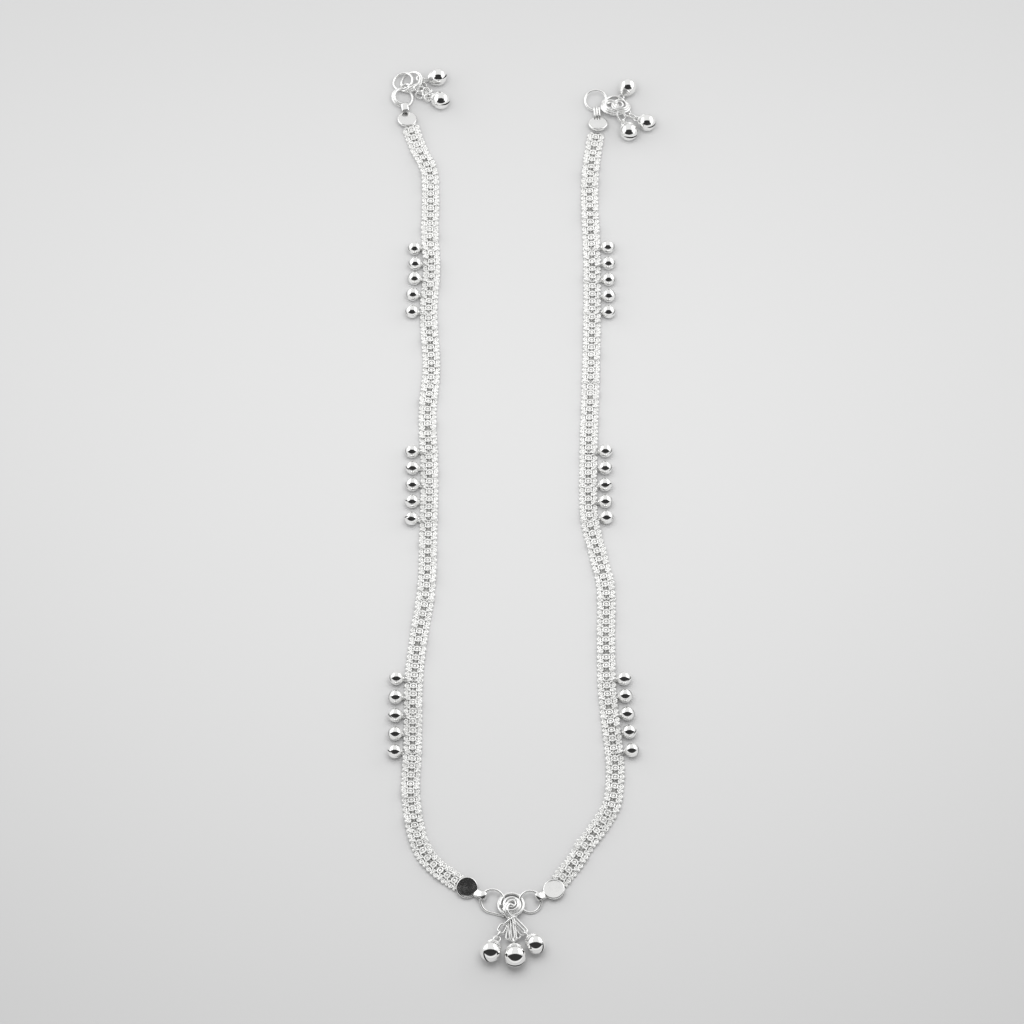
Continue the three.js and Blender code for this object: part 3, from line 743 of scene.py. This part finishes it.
def stage_card(name, points, faces, colour):
    """A mesh in one matt colour that belongs to the stage, not to the anklet."""
    mesh = bpy.data.meshes.new(name)
    mesh.from_pydata(points, [], faces)
    card = bpy.data.objects.new(name, mesh)
    bpy.context.scene.collection.objects.link(card)
    material = bpy.data.materials.new(name)
    material.use_nodes = True
    shader = material.node_tree.nodes["Principled BSDF"]
    shader.inputs["Base Color"].default_value = (*colour, 1)
    shader.inputs["Roughness"].default_value = 1.0
    shader.inputs["Specular IOR Level"].default_value = 0.0
    mesh.materials.append(material)
    return card


X0, Y0 = ORIGIN[:2] * MM  # sizes from here on are in metres
SHEET = [(-12, -12, 0), (12, -12, 0), (12, 12, 0), (-12, 12, 0)]
# Painted light: the sheet is darker under the near ceiling light and paler where that light falls off.
SHEET_NEAR, SHEET_FAR = (0.415, 0.415, 0.415), (0.82, 0.82, 0.82)
FADE_FROM, FADE_TO = 0.22, 0.75  # how far out the sheet begins and ends to grow paler
sheet = stage_card("sheet", SHEET, [(0, 1, 2, 3)], SHEET_NEAR)
sheet_tree = sheet.active_material.node_tree
sheet_place = Field(sheet_tree, sheet_tree.nodes.new("ShaderNodeTexCoord").outputs["Object"])
away = sheet_place.node("ShaderNodeVectorMath", {"operation": "LENGTH"}, {0: sheet_place}, 1)
fade = {0: away, 1: FADE_FROM, 2: FADE_TO}
painted_fill_light = away.node("ShaderNodeMapRange", {"interpolation_type": "SMOOTHSTEP"}, fade)
sheet_colour = sheet_tree.nodes["Principled BSDF"].inputs["Base Color"]
sheet_tree.links.new(painted_fill_light.blend(SHEET_NEAR, SHEET_FAR).socket, sheet_colour)

DARK = (0.05, 0.05, 0.05)
DARK_MIDDLE, DARK_TALL, DARK_WIDE, DARK_FAR = 58, 37, 90, 1.6  # three in degrees
DARK_ROWS, DARK_SIDES = 7, 48


def dome():
    """The dark room's wall, part of a ball round the anklet, in rows that widen from its middle:
    far (sin s, -cos s cos e, cos s sin e), with s = wide g cos t and e = middle + tall g sin t."""
    g = np.linspace(0.02, 1, DARK_ROWS)[:, None]
    t = np.linspace(0, 2 * np.pi, DARK_SIDES, endpoint=False)
    s = np.radians(DARK_WIDE) * g * np.cos(t)
    e = np.radians(DARK_MIDDLE + DARK_TALL * g * np.sin(t))
    points = np.stack([np.sin(s), -np.cos(s) * np.cos(e), np.cos(s) * np.sin(e)], -1)
    index = np.arange(DARK_ROWS * DARK_SIDES).reshape(DARK_ROWS, DARK_SIDES)
    beside = np.roll(index, -1, 1)
    quads = np.stack([index[:-1], beside[:-1], beside[1:], index[1:]], -1).reshape(-1, 4)
    points = (DARK_FAR * points + (X0, Y0, 0)).reshape(-1, 3)
    return points.tolist(), [*quads.tolist(), index[0].tolist()]


dark_room = stage_card("dark_room", *dome(), DARK)
for ray in ("camera", "diffuse", "shadow"):
    setattr(dark_room, "visible_" + ray, False)

WORLD_GLOW = 0.82
world = bpy.data.worlds.new("tent")
bpy.context.scene.world = world
world.use_nodes = True
background = world.node_tree.nodes["Background"]
background.inputs["Color"].default_value = (1, 1, 1, 1)
background.inputs["Strength"].default_value = WORLD_GLOW


def soft_light(name, size, at, turned, glow):
    """A rectangle of light at a place, which shines downwards before it is turned about Y; glow is
    its brightness, so its power is pi * area * glow."""
    data = bpy.data.lights.new(name, "AREA")
    data.shape = "RECTANGLE"
    data.size, data.size_y = size
    data.energy = math.pi * size[0] * size[1] * glow
    light = bpy.data.objects.new(name, data)
    bpy.context.scene.collection.objects.link(light)
    light.location = (X0 + at[0], Y0 + at[1], at[2])
    light.rotation_euler = (0, turned, 0)
    return light


WALL_SIZE, WALL_GLOW = (0.31, 0.6), 1.1
WALL_OUT, WALL_BACK, WALL_UP = 0.3, 0.27, 0.195  # the middle of each wall
CEILING_SIZE, CEILING_AT, CEILING_GLOW = (0.36, 0.26), (0, 0.02, 0.32), 4.1
for way in (-1, 1):
    wall_at = (WALL_OUT * way, WALL_BACK, WALL_UP)
    soft_light("wall", WALL_SIZE, wall_at, way * math.pi / 2, WALL_GLOW)
soft_light("ceiling", CEILING_SIZE, CEILING_AT, 0, CEILING_GLOW).visible_glossy = False

LENS, SENSOR, SEES_TO = 112, 36, 20  # the first two in millimetres
DISTANCE, ELEVATION = 0.875, math.radians(65)
camera_data = bpy.data.cameras.new("camera")
camera_data.lens = LENS
camera_data.sensor_width = SENSOR
camera_data.clip_end = SEES_TO
camera = bpy.data.objects.new("camera", camera_data)
bpy.context.scene.collection.objects.link(camera)
bpy.context.scene.camera = camera
nearer, higher = DISTANCE * math.cos(ELEVATION), DISTANCE * math.sin(ELEVATION)
camera.location = (X0, Y0 - nearer, higher)
camera.rotation_euler = (math.pi / 2 - ELEVATION, 0, 0)
bpy.context.scene.view_settings.view_transform = "Standard"
